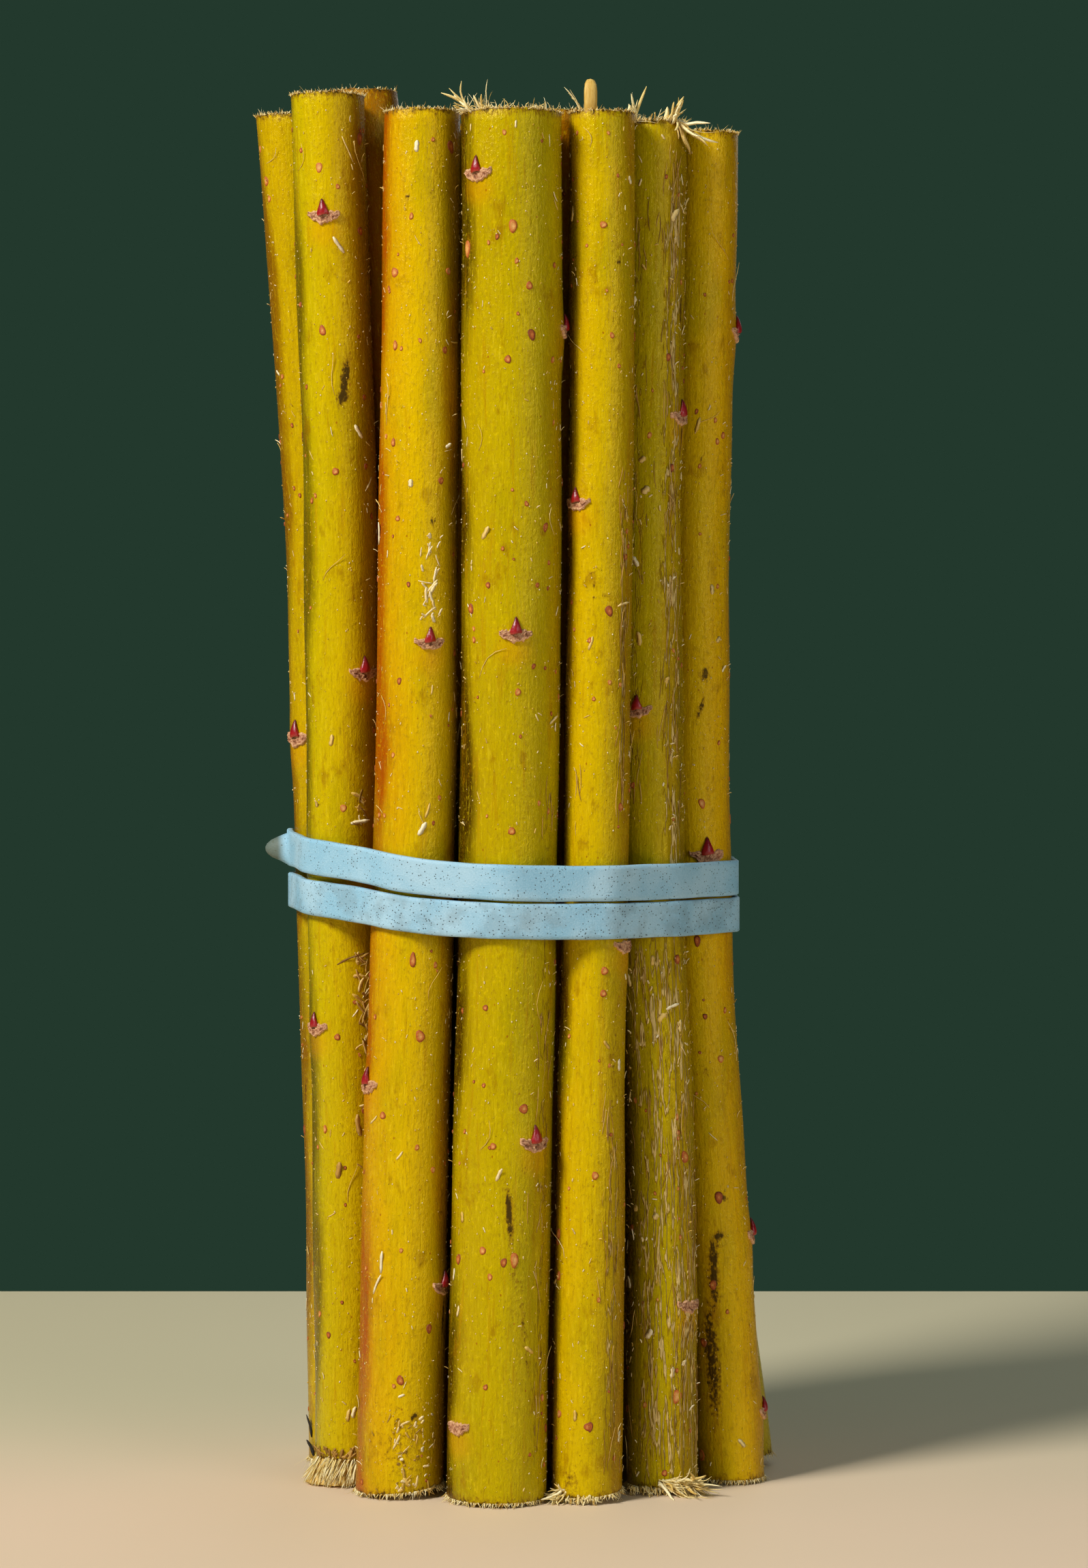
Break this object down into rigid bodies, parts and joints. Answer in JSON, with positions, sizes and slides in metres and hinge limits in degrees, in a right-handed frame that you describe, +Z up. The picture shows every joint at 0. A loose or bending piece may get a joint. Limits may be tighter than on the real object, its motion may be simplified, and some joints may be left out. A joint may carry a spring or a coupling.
{
  "type": "bundle of twigs",
  "caption": "Upright bundle of straight, freshly cut twigs with waxy bark and small buds, held at its waist by a flat rubber band wound twice.",
  "frame": {"origin": "on the ground, in the middle of the bundle's outline", "axes": "+Z up along the twigs, -Y is the front of the bundle, +X to the right seen from the front"},
  "size_m": [0.0806, 0.0741, 0.2156],
  "materials": {
    "bark_amber": "thin young bark, orange-yellow, waxy, with small orange lenticels",
    "bark_olive": "thin young bark, yellow-green, waxy, with fine lengthwise lines",
    "bark_golden": "thin young bark, golden yellow, waxy, orange on one side",
    "bark_fissured": "olive bark that has begun to split into pale tan lengthwise cracks",
    "band_rubber": "matt light blue rubber with dark specks and smudges"
  },
  "bodies": {
    "root": {"twig_01_left_edge": "bark_amber", "twig_02_torn_foot": "bark_olive", "twig_03_in_shadow": "bark_amber", "twig_04_golden": "bark_golden", "twig_05_thick_front": "bark_olive", "twig_06_behind_gap": "bark_amber", "twig_07_streaked": "bark_golden", "twig_08_fissured": "bark_fissured", "twig_09_right_edge": "bark_amber", "twig_10_behind_thick": "bark_olive", "twig_11_back": "bark_golden", "twig_12_back": "bark_olive", "twig_13_back": "bark_amber", "twig_14_back": "bark_olive", "twig_15_back": "bark_golden", "twig_16_back": "bark_olive", "twig_17_back": "bark_golden", "twig_18_back": "bark_amber", "twig_19_inner": "bark_golden", "twig_20_inner": "bark_olive", "twig_21_inner": "bark_amber", "twig_22_inner": "bark_golden", "twig_23_inner": "bark_olive", "twig_24_inner": "bark_golden", "twig_25_core": "bark_olive", "twig_26_core": "bark_golden", "twig_27_core": "bark_amber", "rubber_band": "band_rubber"}
  },
  "joints": []
}
